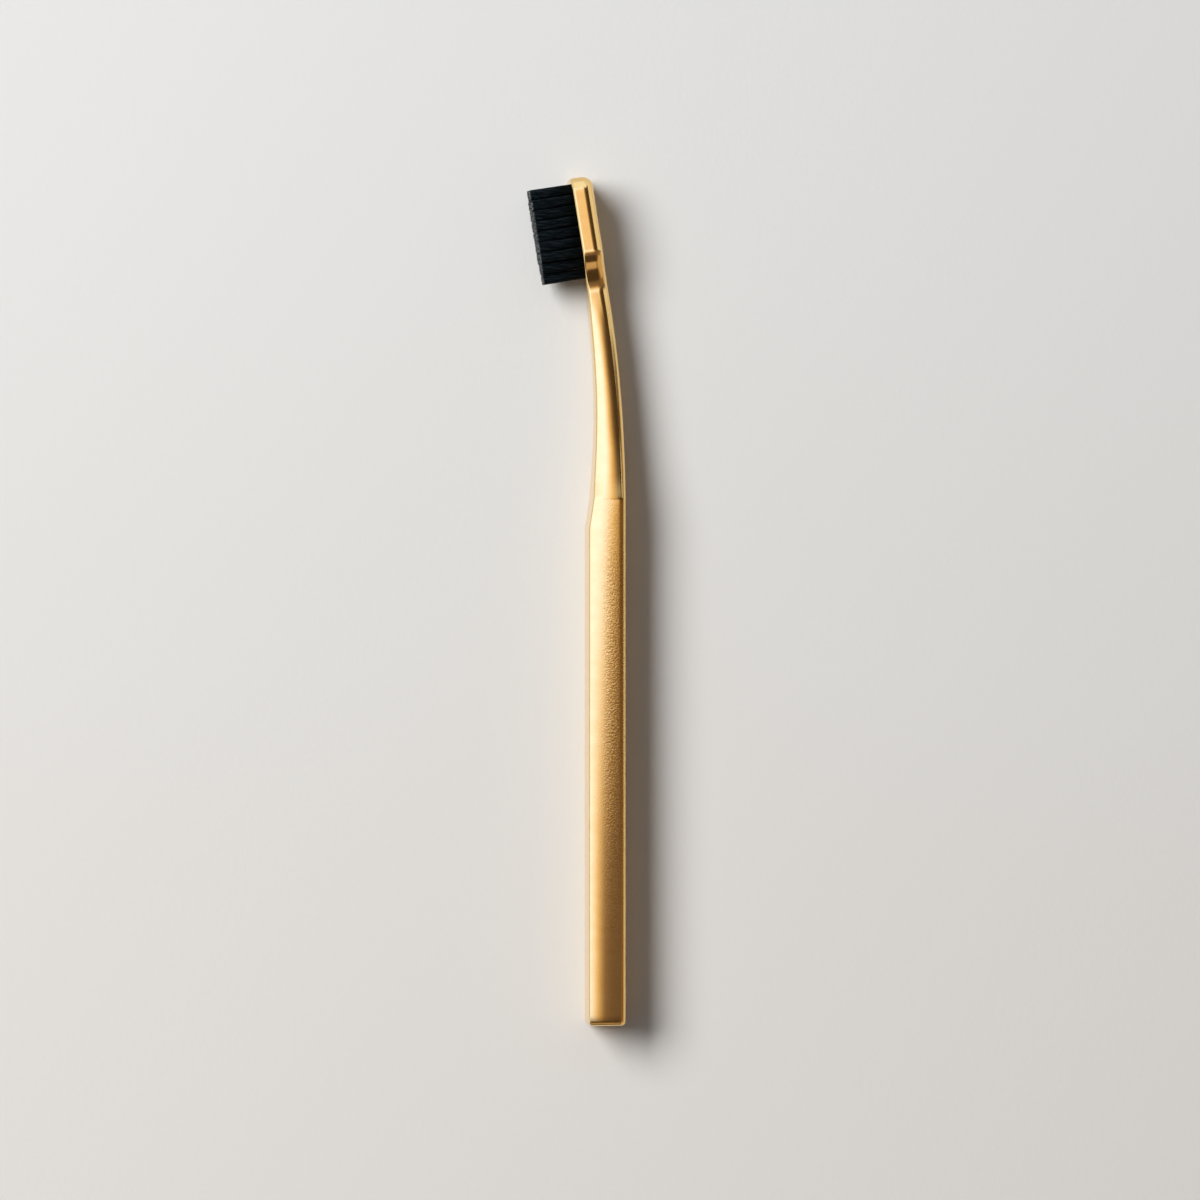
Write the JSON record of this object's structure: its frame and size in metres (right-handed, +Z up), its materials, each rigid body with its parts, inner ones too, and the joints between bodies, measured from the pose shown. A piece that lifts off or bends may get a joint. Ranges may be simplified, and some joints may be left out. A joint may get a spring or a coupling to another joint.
{
  "type": "manual toothbrush",
  "caption": "Slim manual toothbrush with a straight rounded-square grip, slender forward-bent neck and a small tilted head of flat-trimmed black tufts.",
  "frame": {"origin": "on the surface that the brush lies on, below the middle of its outer box", "axes": "+Y along the grip from the butt to the head, +Z up across the handle's width, bristles towards -X"},
  "size_m": [0.0216, 0.1896, 0.011],
  "materials": {
    "gold_handle": "satin gold metallised coat on moulded plastic",
    "black_filament": "black nylon filament, cut ends slightly paler",
    "anchor_metal": "plain cut strip"
  },
  "bodies": {
    "root": {"handle": "gold_handle", "tuft_r1_1": "black_filament", "tuft_r1_2": "black_filament", "tuft_r2_1": "black_filament", "tuft_r2_2": "black_filament", "tuft_r2_3": "black_filament", "tuft_r3_1": "black_filament", "tuft_r3_2": "black_filament", "tuft_r3_3": "black_filament", "tuft_r3_4": "black_filament", "tuft_r4_1": "black_filament", "tuft_r4_2": "black_filament", "tuft_r4_3": "black_filament", "tuft_r4_4": "black_filament", "tuft_r5_1": "black_filament", "tuft_r5_2": "black_filament", "tuft_r5_3": "black_filament", "tuft_r5_4": "black_filament", "tuft_r6_1": "black_filament", "tuft_r6_2": "black_filament", "tuft_r6_3": "black_filament", "tuft_r6_4": "black_filament", "tuft_r7_1": "black_filament", "tuft_r7_2": "black_filament", "tuft_r7_3": "black_filament", "tuft_r7_4": "black_filament", "tuft_r8_1": "black_filament", "tuft_r8_2": "black_filament", "tuft_r8_3": "black_filament", "tuft_r8_4": "black_filament", "tuft_r9_1": "black_filament", "tuft_r9_2": "black_filament", "tuft_r9_3": "black_filament", "tuft_anchors": "anchor_metal"}
  },
  "joints": []
}
